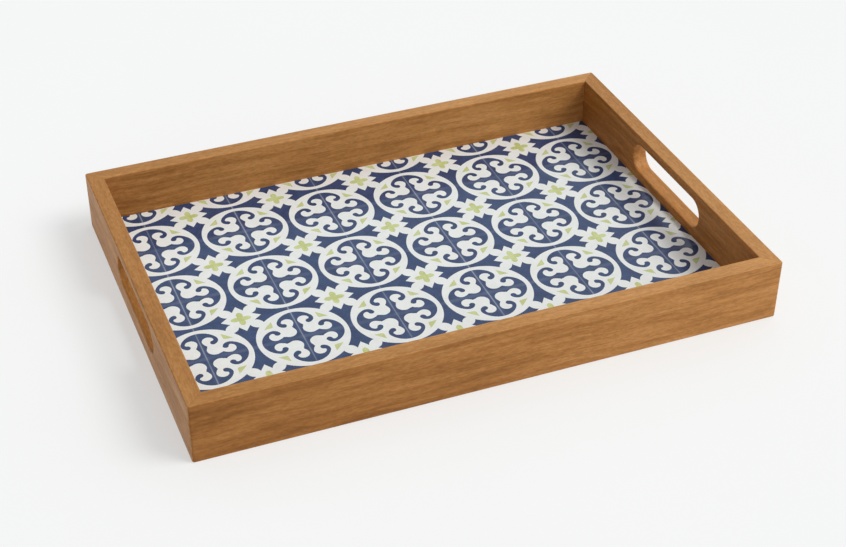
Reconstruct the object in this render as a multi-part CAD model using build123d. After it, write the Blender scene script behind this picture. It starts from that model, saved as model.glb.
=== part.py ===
from build123d import *
import math
import os

# A wooden serving tray: four mitred rails, a finger slot through each end rail, and a
# laminated base board held in a groove. +X runs along the tray, +Y across it, +Z up, and
# the origin is at the middle of the tray on the surface that it stands on. Millimetres.

# Driving dimensions
tray_length = 450.0
tray_width = 310.0
tray_height = 49.0
rail_thickness = 13.0

groove_floor = 4.0            # height of the groove's lower face, which carries the base
groove_depth = 5.0            # how far the groove is cut into each rail
base_gap = 0.5                # room for the base to swell, all round, at the groove's bottom
board_thickness = 4.8
sheet_thickness = 0.4         # printed sheet above the board, plain balancing sheet below it

slot_length = 108.0           # finger slots, end to end along Y
slot_height = 24.5
slot_middle = 28.8            # height of the slots' long axis
slot_shift = -3.0             # their middle along Y: a little nearer the front

corner_round = 2.0            # upright outer corners
top_round = 1.0               # all edges of the rails' top faces
bottom_round = 1.0            # outer edges of the underside
slot_round = 1.6              # edges of the finger slots

cutter_radius = 25.4          # of the disc that cuts the biscuit pockets
pocket_depth = 6.8            # into each rail, square to the mitre face
pocket_width = 4.0            # a glued biscuit swells until it fills this
pocket_from_corner = 12.0     # along the mitre, from the tray's sharp outer corner
pocket_middle = 28.4          # height of a biscuit's middle
biscuit_gap = 0.6             # between a biscuit's rim and its pocket
biscuit_length = 30.0         # the pointed ends are cut off to this

# Derived sizes
inner_length = tray_length - 2 * rail_thickness
inner_width = tray_width - 2 * rail_thickness
base_length = inner_length + 2 * (groove_depth - base_gap)
base_width = inner_width + 2 * (groove_depth - base_gap)
base_thickness = board_thickness + 2 * sheet_thickness
ON_TABLE = (Align.CENTER, Align.CENTER, Align.MIN)


def block(length, width, height, bottom):
    """A box centred on the tray's axis, standing at the given height."""
    return Pos(0, 0, bottom) * Box(length, width, height, align=ON_TABLE)


def frame_ring():
    """The four rails as one ring, with eased edges and the groove for the base."""
    ring = block(tray_length, tray_width, tray_height, 0)
    ring = fillet(ring.edges().filter_by(Axis.Z), corner_round)
    ring = fillet(ring.faces().sort_by(Axis.Z)[0].edges(), bottom_round)
    ring -= block(inner_length, inner_width, tray_height, 0)
    ring = fillet(ring.faces().sort_by(Axis.Z)[-1].edges(), top_round)
    groove_length = inner_length + 2 * groove_depth
    groove_width = inner_width + 2 * groove_depth
    return ring - block(groove_length, groove_width, base_thickness, groove_floor)


def finger_slot(side):
    """A long round-ended cutter through one end rail."""
    middle_of_rail = side * (tray_length - rail_thickness) / 2
    outline = Plane.YZ * SlotOverall(slot_length, slot_height)
    cutter = extrude(outline, rail_thickness, both=True)
    return Pos(middle_of_rail, slot_shift, slot_middle) * cutter


def with_slot(rail, side):
    """Cut the finger slot through an end rail and ease both of its rims."""
    cut = rail - finger_slot(side)
    faces_of_rail = (tray_length / 2, inner_length / 2)
    inside_slot = slot_length / 2 + 1
    rims = [
        edge
        for edge in cut.edges()
        if any(abs(abs(edge.center().X) - x) < 0.01 for x in faces_of_rail)
        and abs(edge.center().Y - slot_shift) < inside_slot
        and abs(edge.center().Z - slot_middle) < slot_height / 2 + 0.01
    ]
    return fillet(rims, slot_round)


def mitre_wedge(turn):
    """A prism over one side of the tray, bounded by the mitres at its two ends.

    turn counts quarter turns from the front side. The two slanted faces lie in the 45
    degree planes through the tray's sharp outer corners.
    """
    half_run, half_depth = tray_length / 2, tray_width / 2
    if turn % 2:
        half_run, half_depth = half_depth, half_run
    reach = 30.0
    outline = Polygon(
        (-half_run - reach, -half_depth - reach),
        (half_run + reach, -half_depth - reach),
        (half_run - reach, -half_depth + reach),
        (-half_run + reach, -half_depth + reach),
        align=None,
    )
    return Rot(0, 0, 90 * turn) * extrude(outline, tray_height)


def corner_plane(end, side):
    """Upright plane of one biscuit: X square to the mitre, Y up, at the pocket's place."""
    inset = pocket_from_corner / math.sqrt(2)
    place = (end * (tray_length / 2 - inset), side * (tray_width / 2 - inset), pocket_middle)
    return Plane(origin=place, x_dir=(end, -side, 0), z_dir=(-end, -side, 0))


def lens(radius):
    """The outline where two discs overlap, each reaching across the mitre plane."""
    shift = cutter_radius - pocket_depth
    return (Pos(-shift, 0) * Circle(radius)) & (Pos(shift, 0) * Circle(radius))


def biscuit_pocket(end, side):
    """The two cuts of the biscuit cutter at one corner, as one lens-shaped cutter."""
    return extrude(corner_plane(end, side) * lens(cutter_radius), pocket_width / 2, both=True)


def biscuit(end, side):
    """A lens-shaped beech biscuit with its ends cut off, standing across one mitre."""
    outline = lens(cutter_radius - biscuit_gap) & Rectangle(2 * pocket_depth, biscuit_length)
    return extrude(corner_plane(end, side) * outline, pocket_width / 2, both=True)


def base_layers():
    """The base from below: balancing sheet, board, printed sheet."""
    layers = {}
    height = groove_floor
    for name, thickness in (
        ("backing_sheet", sheet_thickness),
        ("base_board", board_thickness),
        ("printed_sheet", sheet_thickness),
    ):
        layers[name] = block(base_length, base_width, thickness, height)
        height += thickness
    return layers


ends = {"left": -1, "right": 1}
sides = {"front": -1, "back": 1}
corners = [(s, e) for s in sides for e in ends]

ring = frame_ring()
for side_name, end_name in corners:
    ring -= biscuit_pocket(ends[end_name], sides[side_name])

parts = {}
for turn, name in enumerate(("front_rail", "right_end_rail", "back_rail", "left_end_rail")):
    parts[name] = ring & mitre_wedge(turn)
for end_name, end in ends.items():
    name = f"{end_name}_end_rail"
    parts[name] = with_slot(parts[name], end)
parts.update(base_layers())
for side_name, end_name in corners:
    name = f"{side_name}_{end_name}_corner_biscuit"
    parts[name] = biscuit(ends[end_name], sides[side_name])

os.makedirs("parts", exist_ok=True)
for name, solid in parts.items():
    solid.label = name
    export_step(solid, f"parts/{name}.step")
    box = solid.bounding_box()
    print(f"{name:28s} {box.size.X:7.2f} {box.size.Y:7.2f} {box.size.Z:6.2f}  at z {box.min.Z:.2f}")
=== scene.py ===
import math

import bmesh
import bpy
from mathutils import Euler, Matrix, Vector, geometry


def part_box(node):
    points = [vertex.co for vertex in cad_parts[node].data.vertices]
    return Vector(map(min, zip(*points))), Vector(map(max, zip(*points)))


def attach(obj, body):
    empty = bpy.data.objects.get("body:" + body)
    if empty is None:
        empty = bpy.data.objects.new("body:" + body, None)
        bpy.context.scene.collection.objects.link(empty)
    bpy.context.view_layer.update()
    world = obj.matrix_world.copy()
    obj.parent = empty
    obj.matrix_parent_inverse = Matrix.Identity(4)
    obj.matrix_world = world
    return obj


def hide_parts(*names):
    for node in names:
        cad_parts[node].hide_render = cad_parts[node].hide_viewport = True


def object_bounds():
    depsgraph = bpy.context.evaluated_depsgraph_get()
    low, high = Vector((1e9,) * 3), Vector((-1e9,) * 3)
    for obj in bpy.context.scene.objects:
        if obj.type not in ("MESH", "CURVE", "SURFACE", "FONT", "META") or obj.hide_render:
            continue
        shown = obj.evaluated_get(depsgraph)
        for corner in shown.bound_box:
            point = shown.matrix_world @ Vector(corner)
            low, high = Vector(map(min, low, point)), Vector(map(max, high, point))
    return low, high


# A wooden serving tray. The rails, board and biscuits are the CAD solids with wood materials.
# The printed sheet is rebuilt here as one closed mesh whose top face is divided along the
# outlines of its tile pattern, so that the print's edges are real edges. Metres.

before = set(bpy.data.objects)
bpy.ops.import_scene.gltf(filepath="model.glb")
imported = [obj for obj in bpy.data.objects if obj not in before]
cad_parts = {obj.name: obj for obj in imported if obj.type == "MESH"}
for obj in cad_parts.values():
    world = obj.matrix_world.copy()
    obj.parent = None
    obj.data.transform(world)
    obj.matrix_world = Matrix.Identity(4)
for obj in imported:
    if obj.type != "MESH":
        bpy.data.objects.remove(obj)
cad_low, cad_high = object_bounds()
tray_length = cad_high.x - cad_low.x
tray_width = cad_high.y - cad_low.y
tray_height = cad_high.z - cad_low.z
MM = 0.001


# ---------------------------------------------------------------- the tile pattern
# Every outline is in tile repeats, with the origin at a medallion's centre.

TILE = 0.1631 * tray_length             # one repeat of the pattern
TILE_SHIFT = Vector((-0.0098 * tray_length, 0.0266 * tray_length))
RING_RADIUS = 0.473                     # outer edge of the white ring round a medallion
SCALLOP_ANGLE = 39.2                    # where the blue beyond the ring stops, from its axis
SCROLL_SCALE = 1.012
HALF = Vector((0.5, 0.5))
TRIANGLES_INSIDE = 1                    # the triangulation's output: inside the outlines only
SNAP_MM = 1e-5                          # points closer than this are one point


def arc(centre, radius, start, end, steps):
    """Points along an arc, both ends included. Angles are in degrees."""
    points = []
    for i in range(steps + 1):
        angle = math.radians(start + (end - start) * i / steps)
        points.append(Vector(centre) + radius * Vector((math.cos(angle), math.sin(angle))))
    return points


def curve(start, pull, end, steps=6):
    """Points along a quadratic curve, without its first point."""
    a, b, c = Vector(start), Vector(pull), Vector(end)
    ts = [i / steps for i in range(1, steps + 1)]
    return [a * (1 - t) ** 2 + b * 2 * t * (1 - t) + c * t * t for t in ts]


def turned(points, quarter_turns):
    """Points turned about the origin."""
    x_axis = [(1, 0), (0, 1), (-1, 0), (0, -1)][quarter_turns % 4]
    along, across = Vector(x_axis), Vector((-x_axis[1], x_axis[0]))
    return [p.x * along + p.y * across for p in points]


def anticlockwise(points):
    """The same closed outline, run anticlockwise."""
    pairs = zip(points, points[1:] + points[:1])
    return points if sum(a.cross(b) for a, b in pairs) > 0 else points[::-1]


def four_fold(quarter):
    """A closed outline from the quarter of it that runs clockwise from +Y to +X."""
    outline = []
    for turn in range(4):
        outline += turned(quarter, -turn)
    return outline


def scroll_figure():
    """The blue figure inside the ring: four arms, each with a cap that curls in on both sides."""
    # The cap's crown, its round end and the tip of its curl.
    half_arm = arc((0, 0.217), 0.201, 90, 25, 12)
    half_arm += arc((0.114, 0.270), 0.075, 25, -78, 14)[1:]
    half_arm += arc((0.130, 0.2275), 0.031, -90, -270, 12)
    # The bay inside the curl, and the underside of the cap back to the arm.
    half_arm += arc((0.1225, 0.2795), 0.0225, -64, 50, 7)[1:]
    half_arm += arc((0.088, 0.260), 0.064, 42, 212, 18)
    # The arm's flare, and half of the round hollow between this arm and the next.
    half_arm += curve(half_arm[-1], (0.039, 0.207), (0.059, 0.186))
    half_arm += curve(half_arm[-1], (0.052, 0.176), (0.0491, 0.1577))
    half_arm += arc((0.113, 0.113), 0.078, 145, 225, 10)[1:]
    mirrored = [Vector((p.y, p.x)) for p in reversed(half_arm[1:-1])]
    return [p * SCROLL_SCALE for p in four_fold(half_arm + mirrored)]


def bow_tie():
    """The blue shape between two rings, with a forked end towards each star."""
    beside_ring = arc((0, 0), RING_RADIUS, 0, SCALLOP_ANGLE, 18)
    prong_tip = Vector((0.4405, 0.372))
    notch = Vector((0.5, 0.2875))
    upper_left = beside_ring + curve(beside_ring[-1], (0.428, 0.318), prong_tip) + [notch]
    upper_right = [Vector((1 - p.x, p.y)) for p in reversed(upper_left[:-1])]
    upper = upper_left + upper_right
    lower = [Vector((p.x, -p.y)) for p in reversed(upper[1:-1])]
    return upper + lower


def star_cross():
    """The green cross in the middle of a star: four buds that meet."""
    tip = Vector((0, 0.109))
    bud = curve(tip, (0.029, 0.100), (0.033, 0.068))
    bud += curve(bud[-1], (0.034, 0.044), (0.030, 0.030))
    mirrored = [Vector((p.y, p.x)) for p in reversed(bud[:-1])]
    return [p + HALF for p in four_fold([tip] + bud + mirrored)]


def leaf():
    """A green leaf on the diagonal, between the scrolls and the ring."""
    top, bottom = (0.234, 0.339), (0.339, 0.234)
    lower, upper = (0.262, 0.238), (0.238, 0.262)
    outline = curve(top, (0.290, 0.290), bottom) + curve(bottom, (0.300, 0.238), lower, 3)
    return outline + curve(lower, (0.240, 0.240), upper, 4) + curve(upper, (0.238, 0.300), top, 3)


def pattern_shapes():
    """Every outline of one repeat, as (colour, points)."""
    shapes = [("blue", scroll_figure()), ("green", star_cross())]
    shapes += [("blue", bow_tie()), ("blue", turned(bow_tie(), 1))]
    shapes += [("pale_green", turned(leaf(), turn)) for turn in range(4)]
    return [(colour, anticlockwise(points)) for colour, points in shapes]


def printed_mesh(low, high, inks):
    """A closed slab between two corners, its top divided along the pattern's outlines."""
    # Face 0 is the slab's own white rectangle, and each later face is one coloured outline.
    corners = [(low.x, low.y), (high.x, low.y), (high.x, high.y), (low.x, high.y)]
    points = [Vector(c) for c in corners]
    faces = [list(range(4))]
    colours = ["white"]
    shapes = pattern_shapes()
    columns = math.ceil((high.x - low.x) / TILE / 2) + 1
    rows = math.ceil((high.y - low.y) / TILE / 2) + 1
    for column in range(-columns, columns + 1):
        for row in range(-rows, rows + 1):
            place = Vector((column + 0.5, row)) * TILE + TILE_SHIFT
            for colour, outline in shapes:
                moved = [place + p * TILE for p in outline]
                if not any(low.x < p.x < high.x and low.y < p.y < high.y for p in moved):
                    continue
                faces.append(list(range(len(points), len(points) + len(moved))))
                points += moved
                colours.append(colour)
    in_mm = [p / MM for p in points]
    cut = geometry.delaunay_2d_cdt(in_mm, [], faces, TRIANGLES_INSIDE, SNAP_MM)
    cut_points, cut_faces, sources = cut[0], cut[2], cut[5]

    mesh = bmesh.new()
    verts = [mesh.verts.new((p.x * MM, p.y * MM, high.z)) for p in cut_points]
    for corner_ids, source in zip(cut_faces, sources):
        if 0 not in source:
            continue
        face = mesh.faces.new([verts[i] for i in corner_ids])
        face.material_index = inks.index(colours[max(source)])
    bmesh.ops.delete(mesh, geom=[v for v in mesh.verts if not v.link_faces], context="VERTS")
    bmesh.ops.recalc_face_normals(mesh, faces=mesh.faces)
    rim = [e for e in mesh.edges if e.is_boundary]
    walls = bmesh.ops.extrude_edge_only(mesh, edges=rim)["geom"]
    lower_verts = [v for v in walls if isinstance(v, bmesh.types.BMVert)]
    bmesh.ops.translate(mesh, verts=lower_verts, vec=(0, 0, low.z - high.z))
    lower_rim = [e for e in walls if isinstance(e, bmesh.types.BMEdge) and e.is_boundary]
    bmesh.ops.contextual_create(mesh, geom=lower_rim)
    just_below_top = high.z - 0.001 * MM
    for face in mesh.faces:
        if face.calc_center_median().z < just_below_top:
            face.material_index = inks.index("white")
    bmesh.ops.recalc_face_normals(mesh, faces=mesh.faces)
    data = bpy.data.meshes.new("printed_floor")
    mesh.to_mesh(data)
    mesh.free()
    return data


# ---------------------------------------------------------------- materials

LIGHT_WOOD, MIDDLE_WOOD, DARK_WOOD = (
    (0.540, 0.262, 0.086),
    (0.444, 0.197, 0.055),
    (0.300, 0.126, 0.032),
)
# Pale colour mixed into each rail's top edge: painted light on the top.
PAINTED_TOP_LIGHT = (0.68, 0.37, 0.15)
DARKENING_POWERS = (0.0, 0.3, 0.9)      # extra darkening of red, green and blue
FACE_MARGIN = 50 * MM                   # less than any rail face's distance from the middle
GLUE_CORE = 0.10 * MM                   # a mitre's glue line: half widths along the rail
GLUE_EDGE = 0.35 * MM
JOINT_HAZE = (0.5 * MM, 3.0 * MM)       # where a tile joint's haze starts and stops fading
JOINT_CORE = (0.20 * MM, 0.80 * MM)     # the same for its sharp core


class Nodes:
    """A node tree, with one short call for each kind of node that is used here."""

    def __init__(self, owner, shader, coordinates):
        owner.use_nodes = True
        self.owner = owner
        self.tree = owner.node_tree
        self.shader = self.tree.nodes[shader]
        self.place = self.add("ShaderNodeTexCoord").outputs[coordinates]

    def add(self, kind, **settings):
        node = self.tree.nodes.new(kind)
        for key, value in settings.items():
            setattr(node, key, value)
        return node

    def feed(self, socket, value):
        """Links an output to a socket, or sets the socket's own value."""
        if isinstance(value, bpy.types.NodeSocket):
            self.tree.links.new(value, socket)
        else:
            socket.default_value = value

    def maths(self, operation, *values):
        node = self.add("ShaderNodeMath", operation=operation)
        for socket, value in zip(node.inputs, values):
            self.feed(socket, value)
        return node.outputs[0]

    def split(self, vector):
        node = self.add("ShaderNodeSeparateXYZ")
        self.feed(node.inputs[0], vector)
        return list(node.outputs)

    def join(self, x, y, z):
        node = self.add("ShaderNodeCombineXYZ")
        for socket, value in zip(node.inputs, (x, y, z)):
            self.feed(socket, value)
        return node.outputs[0]

    def noise(self, vector, scale, detail=2.0, roughness=0.5, distortion=0.0):
        node = self.add("ShaderNodeTexNoise")
        self.feed(node.inputs["Vector"], vector)
        self.feed(node.inputs["Scale"], scale)
        self.feed(node.inputs["Detail"], detail)
        self.feed(node.inputs["Roughness"], roughness)
        self.feed(node.inputs["Distortion"], distortion)
        return node.outputs["Fac"]

    def between(self, value, low, high, out_low=0.0, out_high=1.0):
        """Maps low to high onto out_low to out_high, smoothly and clamped."""
        node = self.add("ShaderNodeMapRange", interpolation_type="SMOOTHSTEP")
        for socket, number in zip(node.inputs, (value, low, high, out_low, out_high)):
            self.feed(socket, number)
        return node.outputs["Result"]

    def mix(self, share, first, second, blend="MIX"):
        node = self.add("ShaderNodeMix", data_type="RGBA", blend_type=blend)
        self.feed(node.inputs["Factor"], share)
        self.feed(node.inputs["A"], first)
        self.feed(node.inputs["B"], second)
        return node.outputs["Result"]

    def ramp(self, value, stops):
        node = self.add("ShaderNodeValToRGB")
        self.feed(node.inputs["Fac"], value)
        elements = node.color_ramp.elements
        while len(elements) < len(stops):
            elements.new(0.5)
        for element, (position, colour) in zip(elements, stops):
            element.position = position
            element.color = (*colour, 1)
        return node.outputs["Color"]

    def bump(self, height, distance, strength=1.0):
        node = self.add("ShaderNodeBump")
        self.feed(node.inputs["Height"], height)
        self.feed(node.inputs["Distance"], distance)
        self.feed(node.inputs["Strength"], strength)
        self.feed(self.shader.inputs["Normal"], node.outputs["Normal"])

    def finish(self, colour, roughness, **values):
        self.feed(self.shader.inputs["Base Color"], colour)
        self.feed(self.shader.inputs["Roughness"], roughness)
        for key, value in values.items():
            self.feed(self.shader.inputs[key.replace("_", " ")], value)
        return self.owner


def material_nodes(name):
    return Nodes(bpy.data.materials.new(name), "Principled BSDF", "Object")


def rgba(colour, share=1.0):
    return (*(c * share for c in colour), 1)


def wood(name, grain_along, seed, top_tones_and_light, inner_tones_and_light, outer_tones_and_light, cut_tone_and_light, inner_painted_shade_depth):
    """Satin hardwood with its streaks, flecks, fibres and pores along the rail.

    Each pair of tones is the shade at the rail's low and high end: on its top edge, on its face
    towards the tray's middle, and on its outer face. The cut tone is for the rest, such as the
    finger slot's walls. The tones are partly the wood's own tone and partly painted light and
    shade: light falling off along the rail, the light and sheen on each face, and shade in the
    finger slots. An inner depth below 1 makes the inner face a richer colour, as painted shade.
    """
    n = material_nodes(name)
    x, y, z = n.split(n.place)
    along, across = (x, y) if grain_along == "x" else (y, x)
    # A slow drift carries the whole figure across the rail, so that no streak is quite straight.
    drift = n.noise(n.join(n.maths("MULTIPLY", along, 9.0), seed, 0.0), 1.0)
    drift = n.maths("MULTIPLY", n.maths("SUBTRACT", drift, 0.5), 12 * MM)
    height = n.maths("ADD", z, drift)
    depth = n.maths("ADD", across, n.maths("MULTIPLY", drift, 0.5))

    def stretched(length_scale, width_scale, offset):
        """Coordinates for noise that is drawn out along the grain, with its scales per metre."""
        return n.join(
            n.maths("ADD", n.maths("MULTIPLY", along, length_scale), seed + offset),
            n.maths("MULTIPLY", depth, width_scale),
            n.maths("MULTIPLY", height, width_scale),
        )

    broad = n.noise(stretched(7.0, 80.0, 0.0), 1.0, 3.0, 0.55)
    bands = n.noise(stretched(15.0, 230.0, 11.0), 1.0, 3.0, 0.55, distortion=0.5)
    streaks = n.noise(stretched(20.0, 330.0, 53.0), 1.0, 3.0, 0.55, distortion=0.5)
    flecks = n.noise(stretched(190.0, 640.0, 71.0), 1.0, 3.0, 0.7)
    fibres = n.noise(stretched(60.0, 1900.0, 23.0), 1.0, 2.0, 0.6)
    pores = n.noise(stretched(150.0, 2600.0, 37.0), 1.0, 1.0, 0.5)

    tone = n.maths("ADD", n.maths("MULTIPLY", broad, 0.4), n.maths("MULTIPLY", bands, 0.6))
    colour = n.ramp(tone, [(0.33, DARK_WOOD), (0.48, MIDDLE_WOOD), (0.63, LIGHT_WOOD)])
    colour = n.mix(n.between(streaks, 0.54, 0.70, 0.0, 0.36), colour, rgba(DARK_WOOD, 0.9))
    colour = n.mix(n.between(fibres, 0.35, 0.75, 0.0, 0.18), colour, rgba(DARK_WOOD, 1.1))
    pore = n.between(pores, 0.60, 0.72)
    colour = n.mix(n.maths("MULTIPLY", pore, 0.22), colour, rgba(DARK_WOOD, 0.6))

    # Painted light: the top edge is mixed towards a pale colour, so it is paler and plainer than
    # the upright faces.
    facing = n.split(n.add("ShaderNodeNewGeometry").outputs["True Normal"])
    top = n.between(z, 0.90 * tray_height, 0.97 * tray_height)
    top = n.maths("MULTIPLY", top, n.between(facing[2], 0.55, 0.95))
    colour = n.mix(n.maths("MULTIPLY", top, 0.36), colour, rgba(PAINTED_TOP_LIGHT))

    # Each tone runs evenly from one end of the rail to the other: partly the wood's own tone,
    # partly painted light and shade. A darker one is richer too.
    run = tray_length if grain_along == "x" else tray_width
    on_top, on_inner, on_outer = (
        n.maths("MULTIPLY_ADD", along, (high - low) / run, (high + low) / 2)
        for low, high in (top_tones_and_light, inner_tones_and_light, outer_tones_and_light)
    )
    facing_across = facing[1] if grain_along == "x" else facing[0]
    # A face's distance from the tray's middle: above zero outside, below zero inside.
    outward = n.maths("MULTIPLY", facing_across, across)
    on_face = n.between(outward, -FACE_MARGIN, FACE_MARGIN, on_inner, on_outer)
    upright = n.maths("ABSOLUTE", facing_across)
    shade = n.between(upright, 0.3, 0.9, cut_tone_and_light, on_face)
    shade = n.between(top, 0.0, 1.0, shade, on_top)
    shade = n.maths("MULTIPLY", shade, n.between(flecks, 0.30, 0.70, 0.87, 1.13))
    # Painted shade: where the inner depth is below 1, the inner face turns a richer colour.
    painted_shade_depth = n.between(outward, -FACE_MARGIN, FACE_MARGIN, inner_painted_shade_depth, 1.0)
    darkness = n.maths("MINIMUM", shade, n.between(upright, 0.3, 0.9, 1.0, painted_shade_depth))
    red_green_blue = [
        n.maths("MULTIPLY", shade, n.maths("POWER", darkness, power))
        for power in DARKENING_POWERS
    ]
    colour = n.mix(1.0, colour, n.join(*red_green_blue), "MULTIPLY")

    # A fine dark glue line follows each mitre, on the 45 degree plane through the corner.
    from_end = n.maths("SUBTRACT", tray_length / 2, n.maths("ABSOLUTE", x))
    from_side = n.maths("SUBTRACT", tray_width / 2, n.maths("ABSOLUTE", y))
    off_mitre = n.maths("ABSOLUTE", n.maths("SUBTRACT", from_end, from_side))
    glue = n.between(off_mitre, GLUE_CORE, GLUE_EDGE, 0.40, 0.0)
    colour = n.mix(glue, colour, rgba(DARK_WOOD, 0.8))

    relief = n.maths("SUBTRACT", n.maths("MULTIPLY", fibres, 0.6), pore)
    n.bump(relief, 0.05 * MM, 0.5)
    roughness = n.between(tone, 0.3, 0.65, 0.52, 0.42)
    return n.finish(colour, roughness, Specular_IOR_Level=0.15)


def ink(name, deep, pale, joint_colour):
    """One ink of the print, mottled from deep to pale, under a glossy film.

    It also carries the faint joints between the printed tiles. Those that run across the tray
    have a sharp pale core, and those along it are only a haze.
    """
    n = material_nodes(name)
    x, y, _ = n.split(n.place)
    cloud = n.noise(n.place, 95.0, 3.0, 0.6)
    speckle = n.noise(n.place, 900.0, 2.0, 0.7)
    shade = n.maths("ADD", n.maths("MULTIPLY", cloud, 0.55), n.maths("MULTIPLY", speckle, 0.45))
    shown = n.mix(n.between(shade, 0.34, 0.66), rgba(deep), rgba(pale))
    wear = n.between(n.noise(n.place, 38.0, 2.0), 0.3, 0.7, 0.35, 1.0)
    for value, shift, core, haze in (
        (x, TILE_SHIFT.x + TILE / 2, 0.62, 0.06),
        (y, TILE_SHIFT.y, 0.08, 0.12),
    ):
        tiles = n.maths("DIVIDE", n.maths("SUBTRACT", value, shift), TILE)
        to_joint = n.maths("SUBTRACT", tiles, n.maths("ROUND", tiles))
        off_joint = n.maths("MULTIPLY", n.maths("ABSOLUTE", to_joint), TILE)
        hazy = n.between(off_joint, *JOINT_HAZE, haze, 0.0)
        sharp = n.between(off_joint, *JOINT_CORE, core, 0.0)
        share = n.maths("MULTIPLY", n.maths("MAXIMUM", hazy, sharp), wear)
        shown = n.mix(share, shown, rgba(joint_colour))
    n.bump(n.noise(n.place, 1400.0, 2.0, 0.6), 0.010 * MM, 0.4)
    roughness = n.between(n.noise(n.place, 30.0, 3.0), 0.3, 0.7, 0.15, 0.21)
    return n.finish(shown, roughness, Specular_IOR_Level=0.55)


def pressed_beech():
    """Raw beech of the biscuits: pale, with short fibres lying across the biscuit."""
    n = material_nodes("pressed_beech")
    x, y, z = n.split(n.place)
    stretched = n.join(
        n.maths("MULTIPLY", x, 300.0),
        n.maths("MULTIPLY", y, 300.0),
        n.maths("MULTIPLY", z, 1500.0),
    )
    fleck = n.noise(stretched, 1.0, 3.0, 0.6)
    colour = n.ramp(fleck, [(0.30, (0.46, 0.30, 0.16)), (0.70, (0.72, 0.52, 0.31))])
    n.bump(fleck, 0.05 * MM)
    return n.finish(colour, 0.75)


def fibreboard():
    """Raw hardboard: fine brown felt of fibres."""
    n = material_nodes("fibreboard")
    felt = n.noise(n.place, 1200.0, 4.0, 0.7)
    colour = n.ramp(felt, [(0.30, (0.10, 0.05, 0.025)), (0.70, (0.26, 0.15, 0.08))])
    n.bump(felt, 0.06 * MM)
    return n.finish(colour, 0.85)


def balancing_sheet():
    """Plain off-white laminate with a fine pebbled finish."""
    n = material_nodes("balancing_sheet")
    pebble = n.noise(n.place, 1800.0, 2.0, 0.5)
    cloud = n.noise(n.place, 40.0, 3.0)
    colour = n.ramp(cloud, [(0.30, (0.62, 0.60, 0.55)), (0.70, (0.70, 0.68, 0.63))])
    n.bump(pebble, 0.03 * MM)
    return n.finish(colour, n.between(pebble, 0.3, 0.7, 0.42, 0.55))


def studio_floor():
    """Plain pale sheet that also glows a little, so that the tray's shadow stays light."""
    n = material_nodes("studio_floor")
    cloud = n.noise(n.place, 3.0, 2.0)
    colour = n.ramp(cloud, [(0.30, (0.466, 0.478, 0.476)), (0.70, (0.476, 0.488, 0.486))])
    glow = {"Emission_Color": (1.0, 1.0, 1.0, 1), "Emission_Strength": 0.470}
    return n.finish(colour, 0.9, Specular_IOR_Level=0.05, **glow)


# ---------------------------------------------------------------- the tray

def dress(node, material):
    """Gives a CAD node's every material slot one material."""
    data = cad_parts[node].data
    if not data.materials:
        data.materials.append(material)
    for index in range(len(data.materials)):
        data.materials[index] = material


# Each rail's grain direction; its tones on the top edge, the inner face and the outer face; the
# tone of its cut walls; and the depth of colour of its inner face. The tones are partly the
# wood's own tone and partly painted light and shade, and the depth is painted shade.
RAILS = {
    "front_rail": ("x", (0.78, 1.10), (0.67, 1.08), (0.67, 1.08), 0.80, 1.00),
    "back_rail": ("x", (0.86, 1.08), (0.90, 1.18), (0.90, 1.18), 0.80, 1.00),
    "left_end_rail": ("y", (0.80, 0.80), (0.80, 0.84), (1.06, 1.24), 0.74, 1.00),
    "right_end_rail": ("y", (1.02, 0.84), (1.26, 0.97), (0.92, 0.86), 1.10, 0.64),
}
for number, (rail, (grain_along, *tones)) in enumerate(RAILS.items()):
    dress(rail, wood(f"{rail}_wood", grain_along, 3.7 * number, *tones))

dress("base_board", fibreboard())
dress("backing_sheet", balancing_sheet())
beech = pressed_beech()
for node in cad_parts:
    if node.endswith("_biscuit"):
        dress(node, beech)

INKS = {
    "white": ink("white_ink", (0.815, 0.840, 0.825), (0.875, 0.900, 0.885), (0.80, 0.82, 0.84)),
    "blue": ink("blue_ink", (0.021, 0.045, 0.125), (0.037, 0.075, 0.190), (0.42, 0.46, 0.56)),
    "green": ink("green_ink", (0.51, 0.55, 0.18), (0.65, 0.72, 0.36), (0.66, 0.72, 0.40)),
    "pale_green": ink("pale_green_ink", (0.53, 0.58, 0.22), (0.63, 0.69, 0.37), (0.66, 0.70, 0.45)),
}
sheet_low, sheet_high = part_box("printed_sheet")
sheet_mesh = printed_mesh(sheet_low, sheet_high, list(INKS))
for material in INKS.values():
    sheet_mesh.materials.append(material)
printed_floor = bpy.data.objects.new("printed_floor", sheet_mesh)
bpy.context.scene.collection.objects.link(printed_floor)
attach(printed_floor, "root")
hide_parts("printed_sheet")


# ---------------------------------------------------------------- studio

FLOOR_SIZE = 60 * tray_length
SKY_COLOUR = (0.97, 0.985, 1.0, 1)
KEY_DIRECTION = (0.86, -0.50, 1.18)     # from the tray towards the light
KEY_COLOUR = (1.0, 0.975, 0.94)

# The camera's place is in tray lengths from the middle of the tray's underside.
CAMERA_PLACE = Vector((-0.8715, -2.1676, 1.6636)) * tray_length
CAMERA_PITCH = 54.205                   # degrees up from looking straight down
CAMERA_ROLL = -1.294                    # about the line of sight
CAMERA_TURN = -19.287                   # about Z, from looking along +Y
FARTHEST_SEEN = 100 * tray_length       # beyond the floor's far corners


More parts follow.
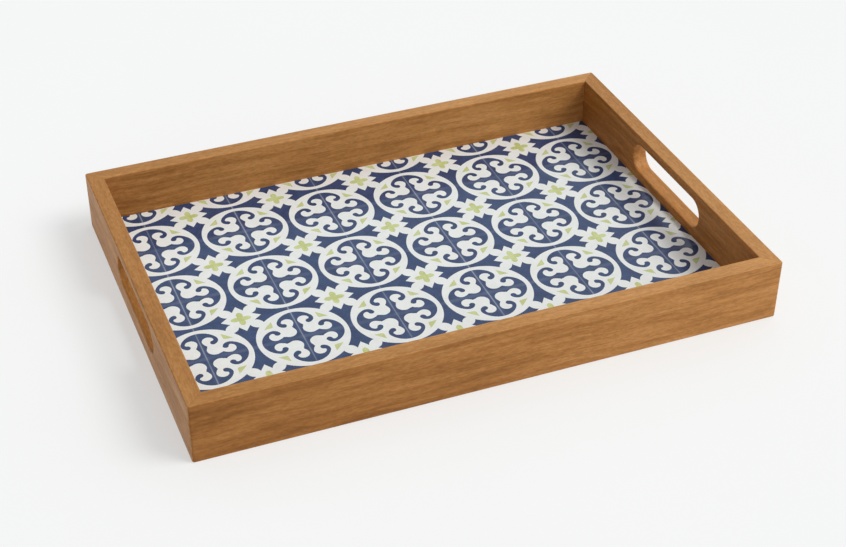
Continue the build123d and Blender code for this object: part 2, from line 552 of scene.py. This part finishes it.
def studio_plane(name, size, height, material):
    data = bpy.data.meshes.new(name)
    half = size / 2
    outline = [(-half, -half), (half, -half), (half, half), (-half, half)]
    corners = [(x, y, height) for x, y in outline]
    data.from_pydata(corners, [], [(0, 1, 2, 3)])
    data.materials.append(material)
    plane = bpy.data.objects.new(name, data)
    bpy.context.scene.collection.objects.link(plane)


def soft_sun(name, towards, strength, spread, colour):
    """Parallel light from a direction, softened by a disc that is spread degrees wide."""
    data = bpy.data.lights.new(name, "SUN")
    data.energy = strength
    data.angle = math.radians(spread)
    data.color = colour
    light = bpy.data.objects.new(name, data)
    light.rotation_euler = Vector(towards).to_track_quat("Z", "Y").to_euler()
    bpy.context.scene.collection.objects.link(light)


studio_plane("studio_floor", FLOOR_SIZE, cad_low.z, studio_floor())

# The room is brighter on the right, where the soft key light stands, and towards the front.
world = bpy.data.worlds.new("studio")
sky = Nodes(world, "Background", "Generated")
to_right, to_back, _ = sky.split(sky.place)
gain_to_right = sky.maths("MULTIPLY", to_right, 0.42)
gain_to_back = sky.maths("MULTIPLY", to_back, -0.10)
lean = sky.maths("ADD", gain_to_right, gain_to_back)
sky.feed(sky.shader.inputs["Color"], SKY_COLOUR)
sky.feed(sky.shader.inputs["Strength"], sky.maths("ADD", lean, 0.60))
bpy.context.scene.world = world

soft_sun("key_light", KEY_DIRECTION, 1.50, 30.0, KEY_COLOUR)

camera_data = bpy.data.cameras.new("camera")
camera_data.sensor_width = 36.0         # sensor and lens in real millimetres
camera_data.lens = 70.19
camera_data.shift_x = 0.0784
camera_data.shift_y = 0.0060
camera_data.clip_end = FARTHEST_SEEN
camera = bpy.data.objects.new("camera", camera_data)
camera.location = CAMERA_PLACE
pitch = Euler((math.radians(CAMERA_PITCH), 0, 0)).to_matrix()
roll = Euler((0, 0, math.radians(CAMERA_ROLL))).to_matrix()
turn = Euler((0, 0, math.radians(CAMERA_TURN))).to_matrix()
camera.rotation_euler = (turn @ pitch @ roll).to_euler()
bpy.context.scene.collection.objects.link(camera)
bpy.context.scene.camera = camera
bpy.context.scene.view_settings.view_transform = "Standard"
